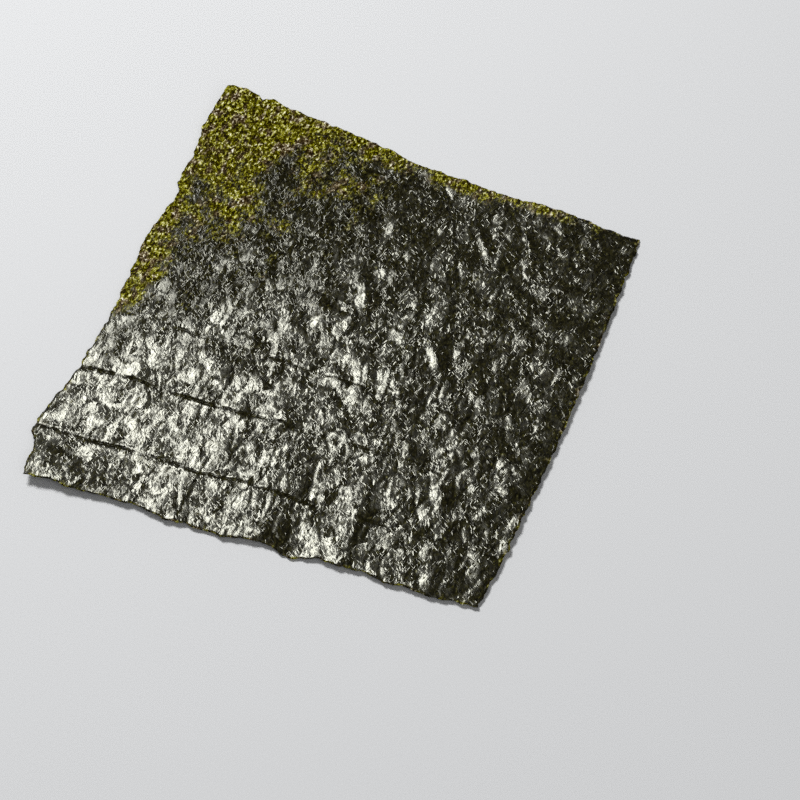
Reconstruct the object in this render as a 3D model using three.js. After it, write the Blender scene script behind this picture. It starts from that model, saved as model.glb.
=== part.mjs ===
// A sheet of dried nori: one thin, wavy, closed solid that lies on a table.
// Lengths are in millimetres and +Z is up. The viewer looks along +Y, so the far edge is at +Y,
// the near edge at -Y, and left and right are -X and +X.
import * as THREE from 'three';

// Driving dimensions of the flat sheet
const SHEET_WIDTH = 190;
const SHEET_LENGTH = 210;
const SHEET_THICKNESS = 0.4;

// The sheet dried a little out of square: how far each corner lies off the rectangle, as [x, y]
const CORNER_SHIFT = {
  farLeft: [-3, 3.5],
  farRight: [2.6, -6.6],
  nearLeft: [0.8, -1.3],
  nearRight: [-1.3, 9],
};

// How high each corner curls off the table, and how far into the sheet the curl reaches
const CORNER_CURL = {
  farLeft: { lift: 6.5, reach: 30 },
  farRight: { lift: 1, reach: 40 },
  nearLeft: { lift: 4, reach: 27 },
  nearRight: { lift: 0.3, reach: 30 },
};

// The whole sheet bows up along its length: the height of the bow, how far its crest is from the far edge,
// and how far from the crest it comes down to the table
const BOW = { height: 2.4, crest: 118, reach: 120 };

// The torn outline, as [distance along the edge, how far the edge stands out there].
// Left and right are measured from the far edge, far and near from the left edge.
const LEFT_EDGE = [
  [0, 1], [24, 3.5], [38, 1.5], [54, 2.6], [58, -0.4], [84, 3], [105, 1.4],
  [128, 0.2], [155, 2.2], [182, 6.8], [190, 6.4], [194, 2.6], [210, 0],
];
const RIGHT_EDGE = [[0, 0.5], [70, 3], [125, 3.5], [187, 2.2], [210, 0.5]];
const FAR_EDGE = [
  [0, 0.5], [8, 1.8], [14, 1.6], [18, 0], [24, 1.9], [38, 2.4], [52, 2.1], [78, 0.2],
  [88, -2.4], [110, -1.8], [121, -2.8], [134, -2.8], [144, -1.5], [160, -1.2], [178, -2.8], [190, -2],
];
const NEAR_EDGE = [
  [0, 0.5], [10, -0.8], [22, -0.1], [32, -0.8], [49, -1.2], [60, 1.3], [70, 0.6],
  [85, 1.5], [98, -0.6], [107, 0], [114, 2.4], [123, -0.4], [137, 0.4], [143, -0.6],
  [153, 1.5], [162, 0.8], [170, 2.2], [178, 1], [190, 0.4],
];
const EDGE_REACH = 9;

// Short tears along every edge, as sines of an uneven pair of lengths
const TEARS = [
  { length: 11.3, depth: 0.25 },
  { length: 6.1, depth: 0.15 },
];

// Lines that the threads of the drying mat pressed across the sheet: the distance from the far edge
// and how deep the line is against the deepest
const THREAD_LINES = [
  { place: 26, strength: 0.1 },
  { place: 59.5, strength: 0.15 },
  { place: 90.5, strength: 0.25 },
  { place: 124.3, strength: 0.6 },
  { place: 154, strength: 1 },
  { place: 185.4, strength: 1 },
];
const THREAD_DEPTH = 0.35;
const THREAD_HALF_WIDTH = 1.2;
const THREAD_FADE_TO_RIGHT = 0.7;
const LIP_HEIGHT = 0.1;
const LIP_OFFSET = 2.2;

// Between two thread lines the strip bellies up, and more so where the lines are deep
const STRIP_BELLY = 0.25;

// Slow swells that run through the whole sheet: height, the lengths along X and Y of one wave, and phase
const SWELLS = [
  { height: 0.3, lengthX: 118, lengthY: 140, phaseX: 0.6, phaseY: 0.4 },
  { height: 0.12, lengthX: 57, lengthY: 71, phaseX: 2.1, phaseY: 1.2 },
  { height: 0.05, lengthX: 26, lengthY: 33, phaseX: 0.9, phaseY: 2.6 },
];

// The swells wander sideways as they run, by this much and once in this length
const WANDER = { width: 4, length: 74, phase: 1.1 };

// Edges that lift in waves: height, reach into the sheet, length of a wave, place of a crest,
// and the middle and the span of the stretch of edge that lifts
const NEAR_EDGE_WAVE = { height: 1.7, reach: 26, length: 38, crest: 94.5, middle: 112, span: 40 };
const FAR_EDGE_WAVE = { height: 1, reach: 18, length: 95, crest: 62, middle: 90, span: 80 };

// Margins that rise or turn down: height, reach into the sheet, and the middle and the span of that
// stretch of edge
const LEFT_MARGIN = [
  { height: -1.4, reach: 40, place: 176, span: 36 },
  { height: -0.7, reach: 4.5, place: 150, span: 28 },
];
const NEAR_MARGIN = [
  { height: 1.6, reach: 13, place: 40, span: 30 },
  { height: 1.2, reach: 16, place: 152, span: 22 },
];

// How softly the sheet beds down where it meets the table
const BEDDING = 0.4;

// Size of one cell of the surface
const CELL_X = 4.35;
const CELL_Y = 4;

// A smooth bump that is one at nought and dies away past its reach
function bell(distance, reach) {
  return Math.exp(-((distance / reach) ** 2));
}

// How high an edge lifts at a place along it and at a distance in from it
function edgeWave(wave, place, inward) {
  const crest = 0.5 + 0.5 * Math.cos((2 * Math.PI * (place - wave.crest)) / wave.length);
  return wave.height * crest * bell(inward, wave.reach) * bell(place - wave.middle, wave.span);
}

// The height of an edge profile at a distance along the edge
function alongProfile(profile, distance) {
  const last = profile.findIndex(([place]) => place >= distance);
  if (last <= 0) {
    return profile.at(last)[1];
  }
  const [startPlace, startOffset] = profile[last - 1];
  const [endPlace, endOffset] = profile[last];
  return THREE.MathUtils.mapLinear(distance, startPlace, endPlace, startOffset, endOffset);
}

// An edge's outward offset with its short tears; the phase tells the four edges apart
function edgeOffset(profile, distance, phase) {
  let offset = alongProfile(profile, distance);
  for (const [order, tear] of TEARS.entries()) {
    offset += tear.depth * Math.sin((2 * Math.PI * distance) / tear.length + phase * (order + 1));
  }
  return offset;
}

// Where a point of the flat sheet lies in plan: across from the left edge, down from the far edge
function planPlace(across, down) {
  const u = across / SHEET_WIDTH;
  const v = down / SHEET_LENGTH;
  const weights = {
    farLeft: (1 - u) * (1 - v),
    farRight: u * (1 - v),
    nearLeft: (1 - u) * v,
    nearRight: u * v,
  };
  let x = across - SHEET_WIDTH / 2;
  let y = SHEET_LENGTH / 2 - down;
  for (const [corner, [shiftX, shiftY]] of Object.entries(CORNER_SHIFT)) {
    x += weights[corner] * shiftX;
    y += weights[corner] * shiftY;
  }
  x -= edgeOffset(LEFT_EDGE, down, 1) * Math.exp(-across / EDGE_REACH);
  x += edgeOffset(RIGHT_EDGE, down, 2) * Math.exp((across - SHEET_WIDTH) / EDGE_REACH);
  y += edgeOffset(FAR_EDGE, across, 3) * Math.exp(-down / EDGE_REACH);
  y -= edgeOffset(NEAR_EDGE, across, 4) * Math.exp((down - SHEET_LENGTH) / EDGE_REACH);
  return [x, y];
}

// How far the corners and edges stand off the table
function curlHeight(across, down) {
  const fromRight = SHEET_WIDTH - across;
  const fromNear = SHEET_LENGTH - down;
  const distances = {
    farLeft: Math.hypot(across, down),
    farRight: Math.hypot(fromRight, down),
    nearLeft: Math.hypot(across, fromNear),
    nearRight: Math.hypot(fromRight, fromNear),
  };
  let height = 0;
  for (const [corner, { lift, reach }] of Object.entries(CORNER_CURL)) {
    height += lift * bell(distances[corner], reach);
  }
  height += edgeWave(NEAR_EDGE_WAVE, across, fromNear);
  height += edgeWave(FAR_EDGE_WAVE, across, down);
  for (const { height: rise, reach, place, span } of LEFT_MARGIN) {
    height += rise * bell(across, reach) * bell(down - place, span);
  }
  for (const { height: rise, reach, place, span } of NEAR_MARGIN) {
    height += rise * bell(fromNear, reach) * bell(across - place, span);
  }
  height += BOW.height * (1 - ((down - BOW.crest) / BOW.reach) ** 2);
  return height;
}

// Slow swells of the whole sheet
function swellHeight(across, down) {
  const wanderX = WANDER.width * Math.sin((2 * Math.PI * down) / WANDER.length);
  const wanderY = WANDER.width * Math.sin((2 * Math.PI * across) / WANDER.length + WANDER.phase);
  let height = 0;
  for (const swell of SWELLS) {
    const waveX = Math.sin((2 * Math.PI * (across + wanderX)) / swell.lengthX + swell.phaseX);
    const waveY = Math.cos((2 * Math.PI * (down + wanderY)) / swell.lengthY + swell.phaseY);
    height += swell.height * waveX * waveY;
  }
  return height;
}

// Pressed thread lines, the raised lip on the near side of each, and the bellied strips between them
function threadRelief(across, down) {
  const fade = 1 - (THREAD_FADE_TO_RIGHT * across) / SHEET_WIDTH;
  const strengths = THREAD_LINES.map(({ place, strength }) => [place, strength]);
  const linesPassed = THREAD_LINES.map(({ place }, count) => [place, count]);
  const belly = Math.sin(Math.PI * alongProfile(linesPassed, down)) ** 2;
  let height = STRIP_BELLY * alongProfile(strengths, down) * belly;
  for (const { place, strength } of THREAD_LINES) {
    const fromLine = down - place;
    height -= THREAD_DEPTH * strength * fade * bell(fromLine, THREAD_HALF_WIDTH);
    height += LIP_HEIGHT * strength * fade * bell(fromLine - LIP_OFFSET, THREAD_HALF_WIDTH);
  }
  return height;
}

// Height of the sheet's middle surface, bedded softly on the table
function sheetHeight(across, down) {
  const free = curlHeight(across, down) + swellHeight(across, down);
  const bedded = 0.5 * (free + Math.hypot(free, BEDDING));
  return bedded + threadRelief(across, down);
}

// Places that split a length evenly between fixed stops, with no step longer than a cell
function splitBetween(stops, cell) {
  const places = [stops[0]];
  for (let i = 1; i < stops.length; i += 1) {
    const span = stops[i] - stops[i - 1];
    const count = Math.ceil(span / cell);
    for (let step = 1; step <= count; step += 1) {
      places.push(stops[i - 1] + (span * step) / count);
    }
  }
  return places;
}

// Rows of points down the sheet, with one along each thread line and one on either side of it
function rowPlaces() {
  const stops = [0];
  for (const { place } of THREAD_LINES) {
    stops.push(place - THREAD_HALF_WIDTH, place, place + THREAD_HALF_WIDTH);
  }
  stops.push(SHEET_LENGTH);
  return splitBetween(stops, CELL_Y);
}

// The closed sheet: two faces split into triangles alike, and a strip round the edge
function sheetGeometry() {
  const columns = splitBetween([0, SHEET_WIDTH], CELL_X);
  const rows = rowPlaces();
  const faceSize = columns.length * rows.length;
  const positions = [];
  for (const side of [0.5, -0.5]) {
    for (const down of rows) {
      for (const across of columns) {
        const [x, y] = planPlace(across, down);
        positions.push(x, y, sheetHeight(across, down) + side * SHEET_THICKNESS);
      }
    }
  }

  const top = (row, column) => row * columns.length + column;
  const bottom = (row, column) => faceSize + top(row, column);
  const triangles = [];
  for (let row = 1; row < rows.length; row += 1) {
    for (let column = 1; column < columns.length; column += 1) {
      const [a, b, c, d] = [[row - 1, column - 1], [row, column - 1], [row, column], [row - 1, column]];
      triangles.push(top(...a), top(...b), top(...c), top(...a), top(...c), top(...d));
      triangles.push(bottom(...a), bottom(...c), bottom(...b), bottom(...a), bottom(...d), bottom(...c));
    }
  }

  const lastRow = rows.length - 1;
  const lastColumn = columns.length - 1;
  const rim = [];
  for (let row = 0; row < lastRow; row += 1) {
    rim.push([row, 0]);
  }
  for (let column = 0; column < lastColumn; column += 1) {
    rim.push([lastRow, column]);
  }
  for (let row = lastRow; row > 0; row -= 1) {
    rim.push([row, lastColumn]);
  }
  for (let column = lastColumn; column > 0; column -= 1) {
    rim.push([0, column]);
  }
  for (const [i, here] of rim.entries()) {
    const next = rim[(i + 1) % rim.length];
    triangles.push(top(...here), bottom(...here), bottom(...next));
    triangles.push(top(...here), bottom(...next), top(...next));
  }

  const geometry = new THREE.BufferGeometry();
  geometry.setAttribute('position', new THREE.Float32BufferAttribute(positions, 3));
  geometry.setIndex(triangles);

  // The origin is under the middle of the sheet, on the table
  geometry.computeBoundingBox();
  const { min, max } = geometry.boundingBox;
  geometry.translate(-(min.x + max.x) / 2, -(min.y + max.y) / 2, -min.z);
  geometry.computeVertexNormals();
  return geometry;
}

// Roasted seaweed, near black with a green cast and a low gloss
const roastedSeaweed = new THREE.MeshStandardMaterial({ color: 0x26291c, roughness: 0.4, metalness: 0 });

const noriSheet = new THREE.Mesh(sheetGeometry(), roastedSeaweed);
noriSheet.name = 'nori_sheet';

const part = new THREE.Group();
part.add(noriSheet);

export default part;
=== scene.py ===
# %% [markdown]
# # A sheet of roasted nori
#
# Nori is seaweed that is shredded, spread thin on a reed mat, dried like paper and roasted. What comes
# off the mat is one brittle sheet, near black with a green cast, that curls at its corners and glints
# all over from its crumpled surface. This lesson makes that sheet as one fine mesh with one material.
# The frame is the plain solid of the same sheet. It fixes the size and the place.

# %% Load the frame
import math

import bpy
import numpy as np
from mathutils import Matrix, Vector
from mathutils.bvhtree import BVHTree


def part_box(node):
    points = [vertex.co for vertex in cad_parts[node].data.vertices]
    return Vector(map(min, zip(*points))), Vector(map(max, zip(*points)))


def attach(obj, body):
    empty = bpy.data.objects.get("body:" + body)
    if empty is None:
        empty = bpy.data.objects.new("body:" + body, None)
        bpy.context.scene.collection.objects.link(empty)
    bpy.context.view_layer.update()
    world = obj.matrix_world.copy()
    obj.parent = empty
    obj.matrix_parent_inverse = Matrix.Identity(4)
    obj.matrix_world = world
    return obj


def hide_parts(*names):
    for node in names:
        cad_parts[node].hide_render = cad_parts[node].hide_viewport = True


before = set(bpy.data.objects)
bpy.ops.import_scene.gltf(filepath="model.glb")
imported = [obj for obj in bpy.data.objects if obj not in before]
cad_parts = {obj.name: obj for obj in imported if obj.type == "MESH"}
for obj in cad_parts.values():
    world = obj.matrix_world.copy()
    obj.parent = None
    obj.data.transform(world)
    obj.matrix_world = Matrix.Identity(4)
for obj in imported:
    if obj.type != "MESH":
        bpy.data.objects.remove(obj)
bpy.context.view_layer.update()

NODE = "nori_sheet"

# %% [markdown]
# ## The flat sheet
#
# Every place on the sheet is named by two distances in millimetres: across, from the left edge, and
# down, from the far edge. The wet shreds are spread in a square frame, and the sheet dries a little out
# of square, so each corner has a shift. It also has a lift, as the corners curl. The mesh could be
# sculpted by eye, but numbers let it follow the solid, which was made from the same ones.

# %% Size of the sheet and its corners, in millimetres
MM = 0.001
SHEET_WIDTH = 190
SHEET_LENGTH = 210
SHEET_THICKNESS = 0.4
CORNERS = {
    "far left": {"at": (0, 0), "shift": (-3, 3.5), "lift": 6.5, "reach": 30},
    "far right": {"at": (1, 0), "shift": (2.6, -6.6), "lift": 1, "reach": 40},
    "near left": {"at": (0, 1), "shift": (0.8, -1.3), "lift": 4, "reach": 27},
    "near right": {"at": (1, 1), "shift": (-1.3, 9), "lift": 0.3, "reach": 30},
}
print(f"sheet of {SHEET_WIDTH} by {SHEET_LENGTH} by {SHEET_THICKNESS} mm")

# %% [markdown]
# ## Bells and noise
#
# Nothing on the sheet is straight or even, and a few helpers give it that. A bell is one soft bump. The
# noise is a grid of random slopes with smooth steps between them, seeded so that the sheet comes out
# the same each time. Blender has noise of its own, but its Python call takes one point at a time, and
# arrays take them all at once.

# %% Helpers for unevenness
NOISE_TILE = 512
NOISE_GAIN = 1.5
NOISE_ROW = 0.5


def bell(distance, reach):
    """One at nought, dying away past its reach."""
    return np.exp(-((distance / reach) ** 2))


def crumple(across, down, grain_across, grain_down, seed):
    """Smooth seeded noise between about -1 and 1, with one bump to each grain."""
    turns = np.random.default_rng(seed).uniform(0, 2 * np.pi, (NOISE_TILE, NOISE_TILE))
    x = np.asarray(across) / grain_across
    y = np.asarray(down) / grain_down
    column = np.floor(x).astype(int)
    row = np.floor(y).astype(int)
    dx = x - column
    dy = y - row
    ease_x = dx**3 * (dx * (dx * 6 - 15) + 10)
    ease_y = dy**3 * (dy * (dy * 6 - 15) + 10)

    def slope(step_x, step_y):
        turn = turns[(column + step_x) % NOISE_TILE, (row + step_y) % NOISE_TILE]
        return np.cos(turn) * (dx - step_x) + np.sin(turn) * (dy - step_y)

    far = slope(0, 0) * (1 - ease_x) + slope(1, 0) * ease_x
    near = slope(0, 1) * (1 - ease_x) + slope(1, 1) * ease_x
    return NOISE_GAIN * (far * (1 - ease_y) + near * ease_y)


def uneven(along, grains, number):
    """Noise along a line, summed over grains of several sizes; each number gives another line."""
    row = np.full_like(along, NOISE_ROW)
    return sum(
        grain["share"] * crumple(along, row, grain["size"], 1, grain["seed"] + number)
        for grain in grains
    )


sample_line = np.linspace(0, 50, 251)
sample = crumple(*np.meshgrid(sample_line, sample_line), 1, 1, 0)
print(f"noise lies between {sample.min():.2f} and {sample.max():.2f}")

# %% [markdown]
# ## The torn edges
#
# The edges are torn, not cut: frond ends stand out and short tears run in. Each edge is a profile of
# offsets, with short waves and frayed ends added that are finer than the solid can hold. The offset is
# full at the edge and dies away inside the sheet, so that rows of points only crowd or spread a little
# there. Cutting the outline from a larger sheet would leave long thin triangles all along it.

# %% Profiles of the edges
# Pairs of a distance along the edge and how far it stands out there. The left and right edges are
# measured from the far edge, and the other two from the left
LEFT_EDGE = [
    (0, 1), (24, 3.5), (38, 1.5), (54, 2.6), (58, -0.4), (84, 3), (105, 1.4),
    (128, 0.2), (155, 2.2), (182, 6.8), (190, 6.4), (194, 2.6), (210, 0),
]
RIGHT_EDGE = [(0, 0.5), (70, 3), (125, 3.5), (187, 2.2), (210, 0.5)]
FAR_EDGE = [
    (0, 0.5), (8, 1.8), (14, 1.6), (18, 0), (24, 1.9), (38, 2.4), (52, 2.1), (78, 0.2), (88, -2.4),
    (110, -1.8), (121, -2.8), (134, -2.8), (144, -1.5), (160, -1.2), (178, -2.8), (190, -2),
]
NEAR_EDGE = [
    (0, 0.5), (10, -0.8), (22, -0.1), (32, -0.8), (49, -1.2), (60, 1.3), (70, 0.6),
    (85, 1.5), (98, -0.6), (107, 0), (114, 2.4), (123, -0.4), (137, 0.4), (143, -0.6),
    (153, 1.5), (162, 0.8), (170, 2.2), (178, 1), (190, 0.4),
]
for name, profile in (("left", LEFT_EDGE), ("right", RIGHT_EDGE), ("far", FAR_EDGE), ("near", NEAR_EDGE)):
    print(f"{name} edge stands out by {max(offset for _, offset in profile)} mm at most")

# %% Offset of an edge
EDGE_REACH = 9
TEARS = [{"length": 11.3, "depth": 0.25}, {"length": 6.1, "depth": 0.15}]
FRAY = [{"size": 3.1, "share": 0.35, "seed": 40}, {"size": 1.2, "share": 0.35, "seed": 40}]
FRAY_REACH = 1.6


def edge_offset(profile, along, inward, number):
    """How far a place near an edge moves outwards; the number tells the four edges apart."""
    offset = np.interp(along, *zip(*profile))
    for order, tear in enumerate(TEARS, start=1):
        offset = offset + tear["depth"] * np.sin(2 * np.pi * along / tear["length"] + number * order)
    frayed = uneven(along, FRAY, number)
    return offset * np.exp(-inward / EDGE_REACH) + frayed * np.exp(-inward / FRAY_REACH)


along_near_edge = np.linspace(0, SHEET_WIDTH, 500)
torn = edge_offset(NEAR_EDGE, along_near_edge, 0, 4)
print(f"near edge lies between {torn.min():.1f} and {torn.max():.1f} mm from its straight line")

# %% [markdown]
# ## The worn tip
#
# The far left tip stands up highest, so it was worn and bent most. It is rounded off, rolls up a
# little, and has a narrow notch torn into the far edge beside it, with a tongue that stands out past
# the notch. Each of these is a bell round its place, which keeps the grid of the sheet whole. A
# modelled roll would need rows of its own.

# %% Worn, rolled and torn tip
WORN_TIP = {"depth": 0.7, "reach": 2.4}
ROLLED_TIP = {"lift": 1.2, "reach": 7}
TIP_TEAR_REACH = 3.5
TIP_TEARS = {
    "notch": {"place": 15.3, "depth": 2, "half width": 1.2},
    "tongue": {"place": 20, "depth": -1.9, "half width": 4},
}


def tip_wear(across, down):
    """How far the tip is rounded off, on both of its edges."""
    return WORN_TIP["depth"] * bell(np.hypot(across, down), WORN_TIP["reach"])


def tip_roll(across, down):
    """How far the tip rolls up, past the curl of its corner."""
    return ROLLED_TIP["lift"] * bell(np.hypot(across, down), ROLLED_TIP["reach"])


def tip_tears(across, down):
    """How far the far edge moves inwards at the notch, and outwards at the tongue."""
    depth = sum(
        tear["depth"] * bell(across - tear["place"], tear["half width"])
        for tear in TIP_TEARS.values()
    )
    return depth * np.exp(-down / TIP_TEAR_REACH)


for name, tear in TIP_TEARS.items():
    print(f"{name} at {tear['place']} mm: {tip_tears(tear['place'], 0):.1f} mm inwards")

# %% [markdown]
# ## A place in plan
#
# With the corners, the edges and the tip in hand, any place on the sheet can be set in plan. A corner's
# shift is shared out over the whole sheet, full at its own corner and nought at the other three, as a
# sheet that dries out of square is skewed all over.

# %% From a place on the sheet to X and Y
def plan_place(across, down):
    """X and Y of a place on the sheet, before the sheet is centred."""
    x = across - SHEET_WIDTH / 2
    y = SHEET_LENGTH / 2 - down
    for corner in CORNERS.values():
        right, near = corner["at"]
        weight_x = across / SHEET_WIDTH if right else 1 - across / SHEET_WIDTH
        weight_y = down / SHEET_LENGTH if near else 1 - down / SHEET_LENGTH
        x = x + weight_x * weight_y * corner["shift"][0]
        y = y + weight_x * weight_y * corner["shift"][1]
    worn = tip_wear(across, down)
    x = x + worn - edge_offset(LEFT_EDGE, down, across, 1)
    x = x + edge_offset(RIGHT_EDGE, down, SHEET_WIDTH - across, 2)
    y = y - worn + edge_offset(FAR_EDGE, across, down, 3) - tip_tears(across, down)
    y = y - edge_offset(NEAR_EDGE, across, SHEET_LENGTH - down, 4)
    return x, y


far_x, far_y = plan_place(np.array([0.0, SHEET_WIDTH]), np.zeros(2))
print(f"far edge is {math.dist((far_x[0], far_y[0]), (far_x[1], far_y[1])):.0f} mm from tip to tip")

# %% [markdown]
# ## Curls and lifted edges
#
# Dried nori never lies flat. It is bowed from far to near, its corners curl, and its near and far edges
# lift in waves. Cloth simulation would give a form of this kind, but not this very one. So each lift is
# a bell or a wave with a height, a place and a reach. These are the same sums as in the solid.

# %% Bow, curls and waves
BOW = {"height": 2.4, "crest": 118, "reach": 120}
NEAR_EDGE_WAVE = {"height": 1.7, "reach": 26, "length": 38, "crest": 94.5, "middle": 112, "span": 40}
FAR_EDGE_WAVE = {"height": 1, "reach": 18, "length": 95, "crest": 62, "middle": 90, "span": 80}
LEFT_MARGIN = [
    {"height": -1.4, "reach": 40, "place": 176, "span": 36},
    {"height": -0.7, "reach": 4.5, "place": 150, "span": 28},
]
NEAR_MARGIN = [
    {"height": 1.6, "reach": 13, "place": 40, "span": 30},
    {"height": 1.2, "reach": 16, "place": 152, "span": 22},
]


def edge_wave(wave, place, inward):
    """Waves along an edge, highest round their middle."""
    crest = 0.5 + 0.5 * np.cos(2 * np.pi * (place - wave["crest"]) / wave["length"])
    return wave["height"] * crest * bell(inward, wave["reach"]) * bell(place - wave["middle"], wave["span"])


def margin_rise(rises, place, inward):
    """Single rises and dips along an edge."""
    return sum(
        rise["height"] * bell(inward, rise["reach"]) * bell(place - rise["place"], rise["span"])
        for rise in rises
    )


def curl_height(across, down):
    """Height of the bow, the curled corners and the lifted edges."""
    inward = SHEET_LENGTH - down
    height = edge_wave(NEAR_EDGE_WAVE, across, inward) + edge_wave(FAR_EDGE_WAVE, across, down)
    for corner in CORNERS.values():
        right, near = corner["at"]
        distance = np.hypot(across - right * SHEET_WIDTH, down - near * SHEET_LENGTH)
        height = height + corner["lift"] * bell(distance, corner["reach"])
    height = height + margin_rise(LEFT_MARGIN, down, across) + margin_rise(NEAR_MARGIN, across, inward)
    return height + BOW["height"] * (1 - ((down - BOW["crest"]) / BOW["reach"]) ** 2)


for name, corner in CORNERS.items():
    right, near = corner["at"]
    print(f"{name} corner: {curl_height(right * SHEET_WIDTH, near * SHEET_LENGTH):.1f} mm up")

# %% [markdown]
# ## Slow swells
#
# Slow swells run through the middle of the sheet, because it dries faster in some places than in
# others. Three sizes of sine wave give them. Their lines wander from side to side, or they would look
# like a tiled pattern.

# %% Swells
SWELLS = [
    {"height": 0.3, "length_x": 118, "length_y": 140, "phase_x": 0.6, "phase_y": 0.4},
    {"height": 0.12, "length_x": 57, "length_y": 71, "phase_x": 2.1, "phase_y": 1.2},
    {"height": 0.05, "length_x": 26, "length_y": 33, "phase_x": 0.9, "phase_y": 2.6},
]
WANDER = {"width": 4, "length": 74, "phase": 1.1}


def swell_height(across, down):
    """Height of the slow swells."""
    wander_x = WANDER["width"] * np.sin(2 * np.pi * down / WANDER["length"])
    wander_y = WANDER["width"] * np.sin(2 * np.pi * across / WANDER["length"] + WANDER["phase"])
    height = 0
    for swell in SWELLS:
        wave_x = np.sin(2 * np.pi * (across + wander_x) / swell["length_x"] + swell["phase_x"])
        wave_y = np.cos(2 * np.pi * (down + wander_y) / swell["length_y"] + swell["phase_y"])
        height = height + swell["height"] * wave_x * wave_y
    return height


print(f"swells reach {sum(swell['height'] for swell in SWELLS):.2f} mm up and down")

# %% [markdown]
# ## Strips between the threads
#
# The reeds of the mat are tied together with threads, and each thread presses a line across the sheet.
# The strip between two lines bellies up a little, and a low lip runs along the near side of each line.
# The lines are plain at the near left and fade to the right and to the far edge, so each has a
# strength. These low forms are in the solid as well. The sharp bottom of each line comes later, with
# the fine relief.

# %% Strips, lips and the middle surface
THREAD_LINES = [
    {"place": 26, "strength": 0.1},
    {"place": 59.5, "strength": 0.15},
    {"place": 90.5, "strength": 0.25},
    {"place": 124.3, "strength": 0.6},
    {"place": 154, "strength": 1},
    {"place": 185.4, "strength": 1},
]
STRIP_BELLY = 0.25
LIP = {"height": 0.1, "offset": 2.2, "half width": 1.2, "fade to right": 0.7}
BEDDING = 0.4


def strip_height(across, down):
    """Height of the bellies between the thread lines, and of the lips along them."""
    fade = 1 - LIP["fade to right"] * across / SHEET_WIDTH
    places = [line["place"] for line in THREAD_LINES]
    strength = np.interp(down, places, [line["strength"] for line in THREAD_LINES])
    lines_passed = np.interp(down, places, range(len(places)))
    height = STRIP_BELLY * strength * np.sin(np.pi * lines_passed) ** 2
    for line in THREAD_LINES:
        lip = LIP["height"] * line["strength"] * fade
        height = height + lip * bell(down - line["place"] - LIP["offset"], LIP["half width"])
    return height


def sheet_height(across, down):
    """Height of the sheet's middle surface, which beds down softly where it would sink below the floor."""
    free = curl_height(across, down) + swell_height(across, down)
    return 0.5 * (free + np.hypot(free, BEDDING)) + strip_height(across, down)


print(f"middle of the sheet lies {sheet_height(SHEET_WIDTH / 2, SHEET_LENGTH / 2):.1f} mm up")

# %% [markdown]
# ## Relief of the pressed shreds
#
# Close up the sheet is a felt of overlapping shreds. It blistered as it dried, the reeds of the mat
# left marks that run down the sheet, and the shreds are wrinkled like foil. Each of these is a layer of
# noise with its own grain and height. A soft layer takes the noise as it is. A folded one takes its
# distance from nought, which turns soft bumps into sharp creases. A narrow one keeps only the places
# near nought, which are thin lines. Real displacement of points is used, as the export drops
# displacement in a shader.

# %% Layers of relief
RELIEF = {
    "blisters": {"height": 0.36, "across": 9, "down": 10, "form": "soft"},
    "reed marks": {"height": -0.15, "across": 6, "down": 13, "form": "narrow"},
    "wrinkles": {"height": 0.03, "across": 2.9, "down": 4.4, "form": "folded"},
    "creases": {"height": 0.015, "across": 1.7, "down": 2.6, "form": "folded"},
}
FIRST_RELIEF_SEED = 11
NARROW_REACH = 0.13
FORMS = {
    "soft": lambda noise: noise,
    "folded": lambda noise: 1 - 2 * np.abs(noise),
    "narrow": lambda noise: bell(noise, NARROW_REACH),
}


def shred_relief(across, down):
    """Height of all layers of relief together."""
    height = 0
    for seed, layer in enumerate(RELIEF.values(), start=FIRST_RELIEF_SEED):
        noise = crumple(across, down, layer["across"], layer["down"], seed)
        height = height + layer["height"] * FORMS[layer["form"]](noise)
    return height


for name, layer in RELIEF.items():
    print(f"{name}: {layer['height']} mm, grain {layer['across']} by {layer['down']} mm, {layer['form']}")

# %% [markdown]
# ## Folds that catch the light
#
# Here and there a shred has folded over and its flat flank mirrors the lamp, which gives the few bright
# patches that the eye goes to. Each is given one by one: where it is, how wide its flank is, how long it
# is, and which way it leans in plan, in degrees. Its left flank rises evenly, as a flat flank gives one
# bright patch, and its right side falls away less steeply.

# %% Folds, placed in millimetres
FOLDS = [
    {"at": (130, 32), "flank": 2.6, "length": 8, "lean": 34, "height": 0.62},
    {"at": (149, 26), "flank": 2, "length": 5, "lean": 34, "height": 0.52},
    {"at": (78, 91), "flank": 4.5, "length": 7, "lean": 32, "height": 0.68},
    {"at": (71, 106), "flank": 4, "length": 5, "lean": 30, "height": 0.58},
    {"at": (52, 83), "flank": 2.8, "length": 6, "lean": 30, "height": 0.4},
    {"at": (63, 75), "flank": 2.4, "length": 6, "lean": 30, "height": 0.38},
    {"at": (94, 78), "flank": 3, "length": 10, "lean": 28, "height": 0.48},
    {"at": (134, 101), "flank": 3.2, "length": 8, "lean": 34, "height": 0.65},
    {"at": (125, 122), "flank": 4, "length": 2.5, "lean": 28, "height": 0.68},
    {"at": (101, 126), "flank": 3.5, "length": 4, "lean": 30, "height": 0.5},
    {"at": (53, 136), "flank": 6, "length": 8, "lean": 18, "height": 0.68},
    {"at": (88, 152), "flank": 5, "length": 4.5, "lean": 18, "height": 0.66},
    {"at": (160, 167), "flank": 3.2, "length": 6, "lean": 17, "height": 0.56},
    {"at": (182, 154), "flank": 2.4, "length": 4, "lean": 19, "height": 0.52},
]
FALL = 0.6


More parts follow.
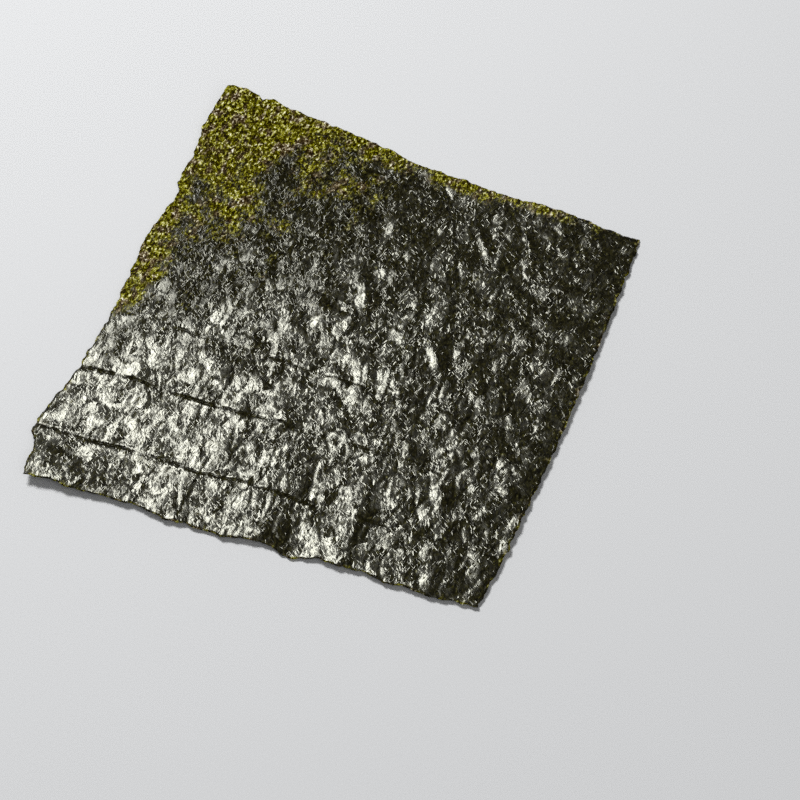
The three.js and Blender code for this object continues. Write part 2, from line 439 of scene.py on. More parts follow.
def fold_height(across, down):
    """Height of the folds: each rises over its flank and falls away on the other side."""
    height = 0
    for fold in FOLDS:
        lean = math.radians(fold["lean"])
        right = across - fold["at"][0]
        near = down - fold["at"][1]
        aside = (right * math.cos(lean) - near * math.sin(lean)) / fold["flank"]
        along = (right * math.sin(lean) + near * math.cos(lean)) / fold["length"]
        profile = np.clip(np.minimum(1 + aside, 1 - FALL * aside), 0, 1)
        height = height + fold["height"] * profile * bell(along, 1)
    return height


print(f"{len(FOLDS)} folds, the highest {max(fold['height'] for fold in FOLDS)} mm")

# %% [markdown]
# ## Lines of the mat's threads
#
# A thread leaves a sharp crease, dark because its floor is in shade and its skin is pressed flat. The
# crease wanders, as the thread was slack, and breaks off where the shreds sprang back. Grains of noise
# along the line give both. The same function serves the relief here and the dark marks in the material
# further down.

# %% Creases along the thread lines
CREASE = {"depth": 0.35, "half width": 0.65, "wander": 0.9, "fade to right": 0.75}
WANDER_GRAINS = [{"size": 16, "share": 1, "seed": 60}, {"size": 3, "share": 0.6, "seed": 60}]
BREAK_GRAINS = [{"size": 11, "share": 1, "seed": 70}, {"size": 2.5, "share": 0.7, "seed": 80}]
RAGGED = {"middle": 0.6, "swing": 0.9, "least": 0.05}


def pressed(across, down, half_width):
    """How much of a thread's mark there is at a place; each mark wanders and breaks off."""
    depth = 0
    fade = 1 - CREASE["fade to right"] * across / SHEET_WIDTH
    for number, line in enumerate(THREAD_LINES, start=1):
        wander = CREASE["wander"] * uneven(across, WANDER_GRAINS, number)
        ragged = RAGGED["middle"] + RAGGED["swing"] * uneven(across, BREAK_GRAINS, number)
        strength = line["strength"] * fade * np.clip(ragged, RAGGED["least"], 1)
        depth = depth + strength * bell(down - line["place"] - wander, half_width)
    return depth


print(f"{len(THREAD_LINES)} thread lines, {CREASE['depth']} mm deep and {2 * CREASE['half width']} mm wide")

# %% [markdown]
# ## Rows, columns and points
#
# Both faces of the sheet follow the same relief, so it stays as thin as paper. The upper face has the
# finer grid, as it is the one that is seen, and the lower face has every second point. Columns are
# even. Rows crowd together at the thread lines, where the creases are sharp. Towards the rim the sheet
# tapers to one shred's thickness.

# %% Grids of the two faces
LOWER_CELLS_ACROSS = 132
LOWER_CELLS_DOWN = 146
FINER = 2
ROW_SAMPLES = 4001
CROWDING = {"extra": 2, "reach": 2.2}


def face_grid(cells_across, cells_down):
    """Places of the points of one face."""
    columns = np.linspace(0, SHEET_WIDTH, cells_across + 1)
    down = np.linspace(0, SHEET_LENGTH, ROW_SAMPLES)
    crowding = 1 + sum(
        CROWDING["extra"] * line["strength"] * bell(down - line["place"], CROWDING["reach"])
        for line in THREAD_LINES
    )
    rows_passed = np.cumsum(crowding) - crowding[0]
    rows = np.interp(np.linspace(0, rows_passed[-1], cells_down + 1), rows_passed, down)
    return np.meshgrid(columns, rows)


upper_across, upper_down = face_grid(FINER * LOWER_CELLS_ACROSS, FINER * LOWER_CELLS_DOWN)
lower_across, lower_down = face_grid(LOWER_CELLS_ACROSS, LOWER_CELLS_DOWN)
spacing = np.diff(upper_down[:, 0])
print(f"rows of the upper face are {spacing.min():.2f} to {spacing.max():.2f} mm apart")

# %% Points of the two faces
RIM_THICKNESS = 0.14
RIM_TAPER = 1.5


def distance_to_rim(across, down):
    """Distance to the nearest edge."""
    return np.minimum.reduce([across, SHEET_WIDTH - across, down, SHEET_LENGTH - down])


def face_points(across, down, side):
    """Points of the upper (side 1) or lower (side -1) face, in millimetres."""
    x, y = plan_place(across, down)
    inward = distance_to_rim(across, down)
    thickness = SHEET_THICKNESS - (SHEET_THICKNESS - RIM_THICKNESS) * np.exp(-inward / RIM_TAPER)
    relief = shred_relief(across, down) + fold_height(across, down)
    relief = relief - CREASE["depth"] * pressed(across, down, CREASE["half width"])
    z = sheet_height(across, down) + tip_roll(across, down) + relief + side * thickness / 2
    return np.stack([x, y, z], axis=-1).reshape(-1, 3)


upper_points = face_points(upper_across, upper_down, 1)
lower_points = face_points(lower_across, lower_down, -1)
points = np.concatenate([upper_points, lower_points])
print(f"{len(upper_points)} points on the upper face, {len(lower_points)} on the lower one")

# %% [markdown]
# ## Onto the solid's place
#
# The solid's origin is under the middle of its box, and the fine sheet goes to the same place. Its own
# middle is that of the plan, read on a coarse survey of the sheet. Points that the relief would push
# below the floor are kept on it, and the upper face stays above the lower one there.

# %% Set the sheet where the solid is
SURVEY_CELLS = 200
survey_across, survey_down = face_grid(SURVEY_CELLS, SURVEY_CELLS)
box_low, box_high = (np.array(corner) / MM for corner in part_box(NODE))
for axis, survey in enumerate(plan_place(survey_across, survey_down)):
    points[:, axis] += (box_low[axis] + box_high[axis]) / 2 - (survey.min() + survey.max()) / 2
points[:, 2] += SHEET_THICKNESS / 2 - sheet_height(survey_across, survey_down).min()
points[:, 2] = np.maximum(points[:, 2], 0)
on_top = slice(0, len(upper_points))
points[on_top, 2] = np.maximum(points[on_top, 2], RIM_THICKNESS)
print("sheet measures", np.round(np.ptp(points, axis=0), 1), "mm")

# %% [markdown]
# ## The mesh
#
# The two grids become four-sided faces, and a strip of triangles round the rim closes them into one
# sheet. A plane with a Subdivision and a Solidify modifier would be quicker to set up. Building the
# faces from arrays gives full control of their number, which has to stay under 200,000 triangles.

# %% Faces and rim
def grid_index(points_across, points_down, first):
    """Numbers of the points of one face, laid out in its rows and columns."""
    return first + np.arange(points_across * points_down).reshape(points_down, points_across)


def grid_faces(index, facing_up):
    """Four-sided faces of a grid, turned to look up or down."""
    far_left, far_right = index[:-1, :-1], index[:-1, 1:]
    near_left, near_right = index[1:, :-1], index[1:, 1:]
    if facing_up:
        order = [far_left, near_left, near_right, far_right]
    else:
        order = [far_left, far_right, near_right, near_left]
    return np.stack(order, axis=-1).reshape(-1, 4).tolist()


def rim_loop(index):
    """Numbers of the points round the rim of a grid, once round."""
    loop = [index[:-1, 0], index[-1, :-1], index[:0:-1, -1], index[0, :0:-1]]
    return np.concatenate(loop).tolist()


upper_index = grid_index(*upper_across.shape[::-1], 0)
lower_index = grid_index(*lower_across.shape[::-1], len(upper_points))
faces = grid_faces(upper_index, True) + grid_faces(lower_index, False)
upper_rim = rim_loop(upper_index)
lower_rim = rim_loop(lower_index)

# Each step round the lower rim meets two steps round the upper one, which takes three triangles
for step, here in enumerate(lower_rim):
    following = lower_rim[(step + 1) % len(lower_rim)]
    start, middle, end = (upper_rim[(FINER * step + k) % len(upper_rim)] for k in range(FINER + 1))
    faces.append([start, here, middle])
    faces.append([middle, here, following])
    faces.append([middle, following, end])
print(f"{len(faces)} faces, {len(lower_rim)} steps round the lower rim")

# %% Sheet
sheet_mesh = bpy.data.meshes.new("nori")
sheet_mesh.from_pydata((points * MM).tolist(), [], faces)
sheet_mesh.shade_smooth()
sheet = bpy.data.objects.new("nori", sheet_mesh)
bpy.context.scene.collection.objects.link(sheet)
triangles = sum(len(polygon.vertices) - 2 for polygon in sheet_mesh.polygons)
print(f"sheet: {len(points)} points, {triangles} triangles")

# %% [markdown]
# ## Does the mesh keep the solid's form?
#
# The fine sheet stands in for the solid, so it should follow it closely. A search tree of the solid's
# triangles tells how far each point of the mesh is from it. Every seventh point is enough to know.

# %% Measure the fit
FIT_STEP = 7
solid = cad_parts[NODE]
solid_tree = BVHTree.FromObject(solid, bpy.context.evaluated_depsgraph_get())
gaps = np.array([solid_tree.find_nearest(Vector(point))[3] for point in points[::FIT_STEP] * MM]) / MM
print(f"distance to the solid: middle {np.median(gaps):.2f} mm, largest {gaps.max():.2f} mm")

# %% [markdown]
# ## Thin places
#
# The shreds were spread unevenly. Towards the far left corner and along the left and far edges the
# sheet is thin, and light comes through it olive and yellow-green; that light is painted into the
# colour, not shone through the sheet. Elsewhere it is several shreds thick and looks black, as it does
# at one clot of shreds in the thin corner. The rim is one shred thick here and there, with the same
# painted light. A value at each point says how thin the sheet is, and the material reads it to choose a
# colour. An image could hold this as well, but the mesh is fine enough to carry it.

# %% How thin the sheet is
THIN_CORNER = {"across": 66, "down": 78, "middle": 1.25}
THIN_LEFT = {"width": 14, "to": 118, "fade": 16}
THIN_FAR = {"width": 14, "to": 110, "fade": 90}
THIN_PATCHES = [
    {"across": 17, "down": 19, "share": 0.4, "seed": 31},
    {"across": 6, "down": 7, "share": 0.4, "seed": 32},
]
THIN_GAIN = 1.3


def thin_corner(across, down):
    """The thin corner, dying away from the far left tip."""
    return THIN_CORNER["middle"] - np.hypot(across / THIN_CORNER["across"], down / THIN_CORNER["down"])


def thin_left(across, down):
    """The thin margin along the left edge."""
    return 1 - across / THIN_LEFT["width"] - np.maximum(down - THIN_LEFT["to"], 0) / THIN_LEFT["fade"]


def thin_far(across, down):
    """The thin margin along the far edge."""
    return 1 - down / THIN_FAR["width"] - np.maximum(across - THIN_FAR["to"], 0) / THIN_FAR["fade"]


def thinness(places, across, down):
    """How thin the sheet is where any of these places is thin, as unevenly as the shreds fell."""
    thinnest = np.maximum.reduce([place(across, down) for place in places])
    patchy = sum(
        patch["share"] * crumple(across, down, patch["across"], patch["down"], patch["seed"])
        for patch in THIN_PATCHES
    )
    return THIN_GAIN * (thinnest + patchy)


across = np.concatenate([upper_across.ravel(), lower_across.ravel()])
down = np.concatenate([upper_down.ravel(), lower_down.ravel()])
thin = thinness([thin_corner, thin_left, thin_far], across, down)
print(f"thin over {100 * (thin > 0.5).mean():.0f}% of the sheet")

# %% Clot and rim, and the mark on the mesh
CLOT = {"across": 37, "down": 35, "reach_across": 6, "reach_down": 9, "strength": 1.3}
THIN_RIM = {"reach": 0.9, "grain": 7, "seed": 33, "middle": 0.45, "swing": 1.2}


def clot(across, down):
    """One clot of shreds, where the thin corner is black."""
    right = (across - CLOT["across"]) / CLOT["reach_across"]
    near = (down - CLOT["down"]) / CLOT["reach_down"]
    return CLOT["strength"] * bell(np.hypot(right, near), 1)


def thin_rim(across, down):
    """The rim, which is one shred thick here and there and gets painted light shining through."""
    noise = crumple(across, down, THIN_RIM["grain"], THIN_RIM["grain"], THIN_RIM["seed"])
    patchy = np.clip(THIN_RIM["middle"] + THIN_RIM["swing"] * noise, 0, 1)
    return np.exp(-distance_to_rim(across, down) / THIN_RIM["reach"]) * patchy


def mark(name, values):
    """Stores one value between nought and one for each point of the mesh."""
    attribute = sheet_mesh.attributes.new(name, "FLOAT", "POINT")
    attribute.data.foreach_set("value", np.clip(values, 0, 1).astype(np.float32))
    print(f"{name}: {np.clip(values, 0, 1).mean():.2f} on average")


# The thin value also places the painted light that shines through the thin corner, margins and rim.
mark("thin", np.maximum(thin - clot(across, down), thin_rim(across, down)))

# %% [markdown]
# ## Dull and pressed places
#
# In the thin corner, and in a wide skirt round it, the skin of the shreds is broken and dull. The left
# margin is partly dull too. Along the threads the skin is pressed flat and doesn't glint. Two more
# values at each point keep these, as gloss has to change where the colour doesn't.

# %% Marks for gloss
DULL_SKIRT = 0.7
DULL_LEFT = {"strength": 0.65, "gain": 2}
PRESSED_MARK = {"half width": 0.58, "power": 0.6}
dull_corner = thinness([thin_corner], across, down) + DULL_SKIRT
dull_left = DULL_LEFT["strength"] * np.clip(DULL_LEFT["gain"] * thin_left(across, down), 0, 1)
mark("dull", np.maximum(dull_corner, dull_left))
mark("pressed", pressed(across, down, PRESSED_MARK["half width"]) ** PRESSED_MARK["power"])

# %% [markdown]
# ## Roasted seaweed
#
# The material is seaweed that was shredded, pressed, dried and roasted: a glossy skin of plant cells,
# like that of a dry leaf, over a body that swallows most light. To the eye that gives small hard glints
# on near black. It is made with nodes only, from sizes in millimetres, so it needs no image and stays
# sharp close up. A few helpers come first. One turns a hex colour to linear, one plugs values and links
# into a node, one adds a node, and one turns the size of a grain into the scale of a pattern.

# %% Helpers for materials
def linear(hex_colour):
    """An sRGB hex colour as linear RGBA."""
    parts = [int(hex_colour[i : i + 2], 16) / 255 for i in (1, 3, 5)]
    return [p / 12.92 if p <= 0.04045 else ((p + 0.055) / 1.055) ** 2.4 for p in parts] + [1.0]


def plug(node, inputs):
    """Gives each input of a node a value, or a link from another node."""
    for name, value in inputs.items():
        if isinstance(value, bpy.types.NodeSocket):
            node.id_data.links.new(value, node.inputs[name])
        else:
            node.inputs[name].default_value = value


def add_node(tree, kind, inputs, **settings):
    """Adds a node to a material or world, with its settings, values and links."""
    node = tree.nodes.new(kind)
    for name, value in settings.items():
        setattr(node, name, value)
    plug(node, inputs)
    return node


def per_metre(size_mm):
    """The scale of a pattern whose grain has this size."""
    return 1 / (size_mm * MM)


# A Mix node has sockets for every kind of value side by side under the same names, so they go by number
MIX_FACTOR = 0
MIX_COLOURS = (6, 7)
MIXED_COLOUR = 2
MIX_VECTORS = (4, 5)
MIXED_VECTOR = 1

seaweed = bpy.data.materials.new("roasted seaweed, pressed and dried")
seaweed.use_nodes = True
seaweed_tree = seaweed.node_tree
skin = seaweed_tree.nodes["Principled BSDF"]
print("material:", seaweed.name)

# %% [markdown]
# ## A mosaic of shreds
#
# The colour is a mosaic of shreds about a millimetre wide, stretched along the reeds of the mat as the
# wet pulp was spread that way. One noise is read through three colour ramps. Thick places are black
# with an olive cast. Thin ones run from brown black through olive and yellow-green, which is painted
# light shining through the thin pulp, and their roasted shreds are browner. The palest stop of these
# two ramps, pale straw and near white, is painted glints.

# %% Colours of the shreds
SHRED = 1.1
ALONG_REEDS = (1, 0.62, 1)
# Thick is the shreds' own colour; green and brown hold painted light shining through thin places, and their
# palest stop is painted glints
SHRED_AND_PAINTED_LIGHT_COLOURS = {
    "thick": [(0.36, "#060502"), (0.49, "#171508"), (0.58, "#252310"), (0.68, "#38351b")],
    "green": [
        (0.4, "#150d00"), (0.46, "#2d2500"), (0.5, "#464000"),
        (0.545, "#6f6c00"), (0.6, "#b3b038"), (0.66, "#faf7d4"),
    ],
    "brown": [
        (0.4, "#170d03"), (0.46, "#31240a"), (0.5, "#4a3b22"),
        (0.545, "#6f6042"), (0.6, "#b2a788"), (0.66, "#fcfaf0"),
    ],
}
place = add_node(seaweed_tree, "ShaderNodeTexCoord", {})
along_reeds = add_node(seaweed_tree, "ShaderNodeMapping", {
    "Vector": place.outputs["Object"],
    "Scale": ALONG_REEDS,
})
shreds = add_node(seaweed_tree, "ShaderNodeTexNoise", {
    "Vector": along_reeds.outputs["Vector"],
    "Scale": per_metre(SHRED),
    "Detail": 4,
    "Roughness": 0.7,
    "Distortion": 0.6,
})
shred_colour = {}
for name, stops in SHRED_AND_PAINTED_LIGHT_COLOURS.items():
    ramp = add_node(seaweed_tree, "ShaderNodeValToRGB", {"Fac": shreds.outputs["Fac"]})
    elements = ramp.color_ramp.elements
    while len(elements) < len(stops):
        elements.new(1.0)
    for element, (position, hex_colour) in zip(elements, stops):
        element.position = position
        element.color = linear(hex_colour)
    shred_colour[name] = ramp.outputs["Color"]
    print(f"{name} shreds: {len(stops)} colours from {stops[0][1]} to {stops[-1][1]}")

# %% [markdown]
# ## Thin and roasted patches
#
# The thin mark on the mesh is soft, but a real sheet turns from black to olive shred by shred. A
# speckle of about a shred's size is added to the mark, and a smooth step cuts the sum. A coarser noise,
# of a few millimetres, decides which thin shreds the roasting browned. The olive that this mask lets in
# is painted light shining through the thin places, and its palest shreds are painted glints.

# %% Colour of the sheet
SPECKLE = 1.2
SPECKLE_SHARE = 1.4
THIN_FROM = 0.8
THIN_TO = 1.6
ROAST_PATCH = 3.4
ROAST_FROM = 0.49
ROAST_TO = 0.65
thin_value = add_node(seaweed_tree, "ShaderNodeAttribute", {}, attribute_name="thin")
speckle = add_node(seaweed_tree, "ShaderNodeTexNoise", {
    "Vector": along_reeds.outputs["Vector"],
    "Scale": per_metre(SPECKLE),
    "Detail": 1.5,
})
speckled = add_node(seaweed_tree, "ShaderNodeMath", {
    0: speckle.outputs["Fac"],
    1: SPECKLE_SHARE,
    2: thin_value.outputs["Fac"],
}, operation="MULTIPLY_ADD")
# Mask of the thin places, where the colour takes the painted light that shines through them
thin_and_painted_light_mask = add_node(seaweed_tree, "ShaderNodeMapRange", {
    "Value": speckled.outputs["Value"],
    "From Min": THIN_FROM,
    "From Max": THIN_TO,
}, interpolation_type="SMOOTHSTEP")
roast = add_node(seaweed_tree, "ShaderNodeTexNoise", {
    "Vector": along_reeds.outputs["Vector"],
    "Scale": per_metre(ROAST_PATCH),
    "Detail": 2.0,
})
browned = add_node(seaweed_tree, "ShaderNodeMapRange", {
    "Value": roast.outputs["Fac"],
    "From Min": ROAST_FROM,
    "From Max": ROAST_TO,
}, interpolation_type="SMOOTHSTEP")
# Olive and straw of the thin shreds: painted light shining through, with painted glints at the palest
thin_colour_and_painted_light = add_node(seaweed_tree, "ShaderNodeMix", {
    MIX_FACTOR: browned.outputs["Result"],
    MIX_COLOURS[0]: shred_colour["green"],
    MIX_COLOURS[1]: shred_colour["brown"],
}, data_type="RGBA")
sheet_colour = add_node(seaweed_tree, "ShaderNodeMix", {
    MIX_FACTOR: thin_and_painted_light_mask.outputs["Result"],
    MIX_COLOURS[0]: shred_colour["thick"],
    MIX_COLOURS[1]: thin_colour_and_painted_light.outputs[MIXED_COLOUR],
}, data_type="RGBA")
print(f"speckle of {SPECKLE} mm, roasted patches of {ROAST_PATCH} mm")

# %% [markdown]
# ## Glints of single shreds
#
# Every shred lies at its own small angle, so each one mirrors the lamp or doesn't, and that is what
# makes the sheet sparkle. A bump can't give it, as a bump is smooth. Here cells of a Voronoi pattern,
# stretched to the shape of a shred, each tilt the normal by a random amount. The layers lie one over
# the other, from broad shreds to needles, and in each layer but the first only some cells stand up. The
# finer layers share a small lean to the near edge, which sets where on the sheet they glint most. Real
# strands are about a tenth of a millimetre wide, too fine to show in the picture, so the needles are
# drawn twice as wide.

# %% Sizes and tilts of the shreds
# Width and length are in millimetres, the turn is in degrees, and across and along are the spread of the
# tilt. Standing is the share of cells that show, and well over one shows them all
BROAD_SHRED = {
    "width": 2.8, "length": 6.5, "turn": 12, "across": 0.24, "along": 0.18, "lean": 0, "standing": 1.2,
}
NARROW_SHRED = {
    "width": 0.6, "length": 2.4, "turn": 15, "across": 0.36, "along": 0.28, "lean": 0.5, "standing": 0.12,
}
NEEDLE = {"width": 0.2, "across": 0.32, "along": 0.32, "lean": 1, "standing": 0.14}
NEEDLES = [
    {**NEEDLE, "length": 1.7, "turn": -14},
    {**NEEDLE, "length": 1.5, "turn": 30},
    {**NEEDLE, "length": 1.3, "turn": 56},
]
LEAN = Vector((-0.025, -0.085, 0))
STANDING_EDGE = 0.07
CROOK = {"grain": 2.2, "width": 0.7}
crooked = add_node(seaweed_tree, "ShaderNodeTexNoise", {
    "Vector": place.outputs["Object"],
    "Scale": per_metre(CROOK["grain"]),
    "Detail": 1.0,
})
bent_place = add_node(seaweed_tree, "ShaderNodeVectorMath", {
    0: crooked.outputs["Color"],
    1: (CROOK["width"] * MM, CROOK["width"] * MM, 0),
    2: place.outputs["Object"],
}, operation="MULTIPLY_ADD")
print(f"{2 + len(NEEDLES)} layers of shreds, from {BROAD_SHRED['width']} to {NEEDLE['width']} mm wide")

# %% Tilt of the shreds, layer over layer
tilt = (0, 0, 0)
needle_mask = 0.0
for shred in [BROAD_SHRED, NARROW_SHRED, *NEEDLES]:
    turn = (0, 0, math.radians(shred["turn"]))
    laid = add_node(seaweed_tree, "ShaderNodeMapping", {
        "Vector": bent_place.outputs["Vector"],
        "Rotation": turn,
        "Scale": (shred["width"] * MM, shred["length"] * MM, 1),
    }, vector_type="TEXTURE")
    cells = add_node(seaweed_tree, "ShaderNodeTexVoronoi", {
        "Vector": laid.outputs["Vector"],
        "Scale": 1.0,
    }, voronoi_dimensions="2D")
    chance = add_node(seaweed_tree, "ShaderNodeSeparateColor", {"Color": cells.outputs["Color"]})
    stands = add_node(seaweed_tree, "ShaderNodeMapRange", {
        "Value": chance.outputs["Blue"],
        "From Min": 1 - STANDING_EDGE - shred["standing"],
        "From Max": 1 + STANDING_EDGE - shred["standing"],
    }, interpolation_type="SMOOTHSTEP")
    either_way = add_node(seaweed_tree, "ShaderNodeVectorMath", {
        0: cells.outputs["Color"],
        1: (0.5, 0.5, 0.5),
    }, operation="SUBTRACT")
    own_tilt = add_node(seaweed_tree, "ShaderNodeMapping", {
        "Vector": either_way.outputs["Vector"],
        "Rotation": turn,
        "Scale": (shred["across"], shred["along"], 0),
        "Location": shred["lean"] * LEAN,
    }, vector_type="POINT")
    laid_over = add_node(seaweed_tree, "ShaderNodeMix", {
        MIX_FACTOR: stands.outputs["Result"],
        MIX_VECTORS[0]: tilt,
        MIX_VECTORS[1]: own_tilt.outputs["Vector"],
    }, data_type="VECTOR")
    tilt = laid_over.outputs[MIXED_VECTOR]
    if shred in NEEDLES:
        any_needle = add_node(seaweed_tree, "ShaderNodeMath", {
            0: stands.outputs["Result"],
            1: needle_mask,
        }, operation="MAXIMUM")
        needle_mask = any_needle.outputs["Value"]
print(f"{len(seaweed_tree.nodes)} nodes so far")

# %% [markdown]
# ## The finest wrinkles
#
# Between the shreds the skin is wrinkled more finely than the mesh can hold. A low bump gives that, and
# the tilt of the shreds is added to its normal. The sum is made one long again, as a normal has to be.

# %% Normal of the skin
FINE_WRINKLE = {"grain": 0.9, "height": 0.018}
wrinkles = add_node(seaweed_tree, "ShaderNodeTexNoise", {
    "Vector": along_reeds.outputs["Vector"],
    "Scale": per_metre(FINE_WRINKLE["grain"]),
    "Detail": 2.0,
    "Distortion": 0.8,
})
wrinkle_bump = add_node(seaweed_tree, "ShaderNodeBump", {
    "Height": wrinkles.outputs["Fac"],
    "Strength": 1.0,
    "Distance": FINE_WRINKLE["height"] * MM,
})
leaning = add_node(seaweed_tree, "ShaderNodeVectorMath", {0: wrinkle_bump.outputs["Normal"], 1: tilt})
skin_normal = add_node(seaweed_tree, "ShaderNodeVectorMath", {
    0: leaning.outputs["Vector"],
}, operation="NORMALIZE")
print(f"wrinkles of {FINE_WRINKLE['grain']} mm, {FINE_WRINKLE['height']} mm high")

# %% [markdown]
# ## Shine of the skin
#
# Whole skin mirrors as much as its IOR says, which is what the shader's specular level of one half
# gives. Where the skin is broken it mirrors far less, but the needles in it still glint. So the ground
# and the needles each have a shine of their own, and the mask of the needles chooses between them.

# %% Shine of the ground and of the needles
FULL_SHINE = 0.5
DULL_SHINE = 0.015
DULL_NEEDLE_SHINE = 0.22
DULL_FULL_AT = 0.8
dull_value = add_node(seaweed_tree, "ShaderNodeAttribute", {}, attribute_name="dull")
ground_shine = add_node(seaweed_tree, "ShaderNodeMapRange", {
    "Value": dull_value.outputs["Fac"],
    "From Max": DULL_FULL_AT,
    "To Min": FULL_SHINE,
    "To Max": DULL_SHINE,
})
needle_shine = add_node(seaweed_tree, "ShaderNodeMapRange", {
    "Value": dull_value.outputs["Fac"],
    "To Min": FULL_SHINE,
    "To Max": DULL_NEEDLE_SHINE,
})
shine = add_node(seaweed_tree, "ShaderNodeMapRange", {
    "Value": needle_mask,
    "To Min": ground_shine.outputs["Result"],
    "To Max": needle_shine.outputs["Result"],
})
print(f"shine from {DULL_SHINE} on dull ground to {FULL_SHINE} on whole skin")

# %% [markdown]
# ## Thin and pressed places mirror less
#
# Thin places and pressed lines hardly mirror at all, so only a share of the shine is left there. The
# speckle that broke up the olive patches breaks up the pressed lines as well, as no line on such a felt
# is clean.

# %% Share of the shine that is left
THIN_SHARE = 0.08
PRESSED_SHARE = 0.1
PRESSED_FROM = -0.35
PRESSED_TO = 0.1
pressed_value = add_node(seaweed_tree, "ShaderNodeAttribute", {}, attribute_name="pressed")
thin_share = add_node(seaweed_tree, "ShaderNodeMapRange", {
    "Value": thin_and_painted_light_mask.outputs["Result"],
    "To Min": 1.0,
    "To Max": THIN_SHARE,
})
ragged_press = add_node(seaweed_tree, "ShaderNodeMath", {
    0: speckle.outputs["Fac"],
    1: -1.0,
    2: pressed_value.outputs["Fac"],
}, operation="MULTIPLY_ADD")
share_left = add_node(seaweed_tree, "ShaderNodeMapRange", {
    "Value": ragged_press.outputs["Value"],
    "From Min": PRESSED_FROM,
    "From Max": PRESSED_TO,
    "To Min": thin_share.outputs["Result"],
    "To Max": PRESSED_SHARE,
})
mirror_strength = add_node(seaweed_tree, "ShaderNodeMath", {
    0: shine.outputs["Result"],
    1: share_left.outputs["Result"],
}, operation="MULTIPLY")
print(f"{THIN_SHARE} of the shine is left on thin places, {PRESSED_SHARE} on pressed lines")

# %% [markdown]
# ## The finished skin
#
# Colour, roughness, shine and normal now meet in one shader. Plant skin has an IOR of about 1.45, and
# roasting leaves it smooth, so its roughness is low. The thin places are rougher, so they are dull in
# roughness as well as in shine. The export drops a linked specular level but keeps roughness, so they
# stay dull there too. A faint yellow tint warms the glints, as the skin isn't quite clear.

# %% Put the skin together
SKIN_IOR = 1.45
SKIN_TINT = "#fdfdec"
GLOSSY_ROUGHNESS = 0.18
THIN_ROUGHNESS = 0.45
roughness = add_node(seaweed_tree, "ShaderNodeMapRange", {
    "Value": thin_and_painted_light_mask.outputs["Result"],
    "To Min": GLOSSY_ROUGHNESS,
    "To Max": THIN_ROUGHNESS,
})
plug(skin, {
    "Base Color": sheet_colour.outputs[MIXED_COLOUR],
    "Roughness": roughness.outputs["Result"],
    "Specular IOR Level": mirror_strength.outputs["Value"],
    "Normal": skin_normal.outputs["Vector"],
    "IOR": SKIN_IOR,
    "Specular Tint": linear(SKIN_TINT),
})
sheet_mesh.materials.append(seaweed)
print(f"{seaweed.name}: {len(seaweed_tree.nodes)} nodes")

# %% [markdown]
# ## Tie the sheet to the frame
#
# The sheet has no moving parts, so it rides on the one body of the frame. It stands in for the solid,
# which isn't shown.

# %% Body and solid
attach(sheet, "root")
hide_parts(NODE)
print(f"{sheet.name} rides on root and replaces {NODE}")

# %% [markdown]
# ## Floor
#
# The sheet lies on a plain pale floor with a matt coat of paint, which gives the eye an even light
# grey. A plane is enough, as nothing of it is seen but its top.

# %% Pale floor
FLOOR_SIDE = 2.4
bpy.ops.mesh.primitive_plane_add(size=FLOOR_SIDE, location=(0, 0, 0))
floor = bpy.context.object
floor.name = "floor"
floor_paint = bpy.data.materials.new("pale matt floor")
floor_paint.use_nodes = True
plug(floor_paint.node_tree.nodes["Principled BSDF"], {
    "Base Color": linear("#dadbdc"),
    "Roughness": 0.9,
    "Specular IOR Level": 0.2,
})
floor.data.materials.append(floor_paint)
print(f"floor of {FLOOR_SIDE} by {FLOOR_SIDE} m")

# %% [markdown]
# ## Light
#
# One window-like lamp stands behind the sheet to the left, where the mirror of the view points, so that
# the near left of the sheet glints most. Its small bright core makes hard glints and a wide glow round
# it softens where they end. A large weak fill on the other side opens the shadows. Sun light would be
# simpler, but its glints are all of one size.

# %% Lamps, in millimetres and watts
LAMPS = {
    "lamp core": {"place": (-800, 555, 1460), "side": 480, "watts": 28},
    "lamp glow": {"place": (-800, 555, 1460), "side": 1300, "watts": 2.5},
    "fill": {"place": (900, -900, 1500), "side": 1500, "watts": 8},
}
for name, lamp in LAMPS.items():
    light = bpy.data.lights.new(name, "AREA")
    light.size = lamp["side"] * MM
    light.energy = lamp["watts"]
    stand = bpy.data.objects.new(name, light)
    stand.location = Vector(lamp["place"]) * MM
    stand.rotation_euler = stand.location.to_track_quat("Z", "Y").to_euler()
    bpy.context.scene.collection.objects.link(stand)
    print(f"{name}: {lamp['watts']} W, {stand.location.length:.2f} m away")

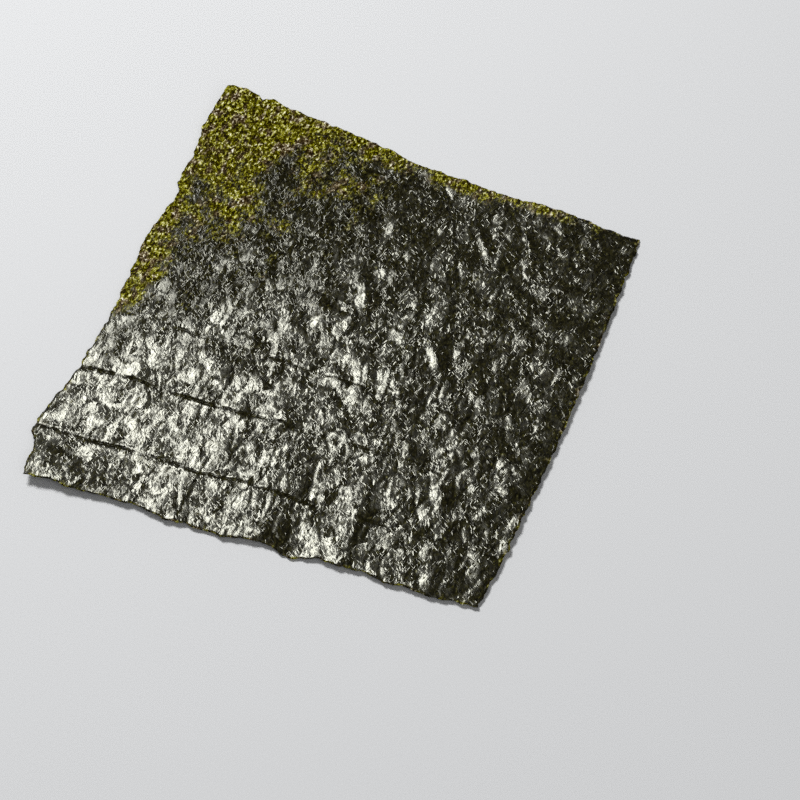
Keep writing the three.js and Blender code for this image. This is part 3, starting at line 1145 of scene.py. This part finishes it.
# %% [markdown]
# ## Surround
#
# A glossy sheet shows what is round it. The surround is pale low down, as the walls of a room are, so
# that the sheet has something to mirror in low views from the side. It is dim higher up, so that the
# sheet stays dark from above. The height of each direction sets its strength. The plain view transform
# then shows the colours as they are set, and no denoising keeps the finest glints.

# %% Walls and picture
WALL_STRENGTH = 0.5
CEILING_STRENGTH = 0.045
WALL_TOP = 0.5
world = bpy.data.worlds.new("studio")
world.use_nodes = True
direction = add_node(world.node_tree, "ShaderNodeTexCoord", {})
upwards = add_node(world.node_tree, "ShaderNodeSeparateXYZ", {"Vector": direction.outputs["Generated"]})
strength = add_node(world.node_tree, "ShaderNodeMapRange", {
    "Value": upwards.outputs["Z"],
    "From Max": WALL_TOP,
    "To Min": WALL_STRENGTH,
    "To Max": CEILING_STRENGTH,
}, interpolation_type="SMOOTHSTEP")
plug(world.node_tree.nodes["Background"], {
    "Color": linear("#f2f4f6"),
    "Strength": strength.outputs["Result"],
})
bpy.context.scene.world = world
bpy.context.scene.view_settings.view_transform = "Standard"
bpy.context.scene.cycles.use_denoising = False
print(f"surround: {WALL_STRENGTH} at the floor, {CEILING_STRENGTH} above")

# %% [markdown]
# ## Camera
#
# The camera looks down on the sheet from the near right, through a long lens, which keeps its sides
# almost parallel. It is set by its direction and distance from the place that it looks at, as these are
# easier to match to a picture than coordinates.

# %% Camera
AZIMUTH = math.radians(21.17)
ELEVATION = math.radians(56.19)
DISTANCE = 906 * MM
TARGET = Vector((32.6, -18.9, 0)) * MM
LENS = 100
SENSOR = 36
back = Vector((
    math.sin(AZIMUTH) * math.cos(ELEVATION),
    -math.cos(AZIMUTH) * math.cos(ELEVATION),
    math.sin(ELEVATION),
))
camera_data = bpy.data.cameras.new("camera")
camera_data.lens = LENS
camera_data.sensor_width = SENSOR
camera = bpy.data.objects.new("camera", camera_data)
camera.location = TARGET + DISTANCE * back
camera.rotation_euler = back.to_track_quat("Z", "Y").to_euler()
bpy.context.scene.collection.objects.link(camera)
bpy.context.scene.camera = camera
print("camera at", [round(c, 3) for c in camera.location])
